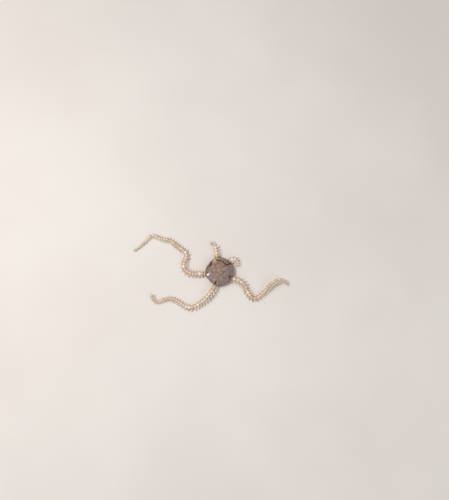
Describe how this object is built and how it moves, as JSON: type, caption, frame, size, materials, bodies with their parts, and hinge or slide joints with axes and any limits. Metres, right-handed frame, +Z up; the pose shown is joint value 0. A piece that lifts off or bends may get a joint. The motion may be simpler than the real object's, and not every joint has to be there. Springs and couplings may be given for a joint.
{
  "type": "brittle star model",
  "caption": "Life-size still model of a tiny brittle star with a scaled disc and slender spiny arms lying in loose waves.",
  "frame": {"origin": "on the resting surface, under the middle of the disc", "axes": "+Z up from the surface through the disc, +X along the star's long spread to its right arm, +Y towards its two short arms"},
  "size_m": [0.0183, 0.0093, 0.0011],
  "materials": {
    "disc": "grey-brown limy scales under a thin wet skin, satin with small wet glints",
    "arm": "cream to beige limy plates and spines, slightly translucent, wet satin"
  },
  "bodies": {
    "root": {"disc": "disc", "arm_back_right_stub": "arm", "arm_back_base": "arm", "arm_back_regrowing_tip": "arm", "arm_left_base": "arm", "arm_left_inner": "arm", "arm_left_middle": "arm", "arm_left_outer": "arm", "arm_left_tip": "arm", "arm_front_left_base": "arm", "arm_front_left_inner": "arm", "arm_front_left_outer": "arm", "arm_front_left_tip": "arm", "arm_front_right_base": "arm", "arm_front_right_inner": "arm", "arm_front_right_outer": "arm", "arm_front_right_tip": "arm"}
  },
  "joints": []
}
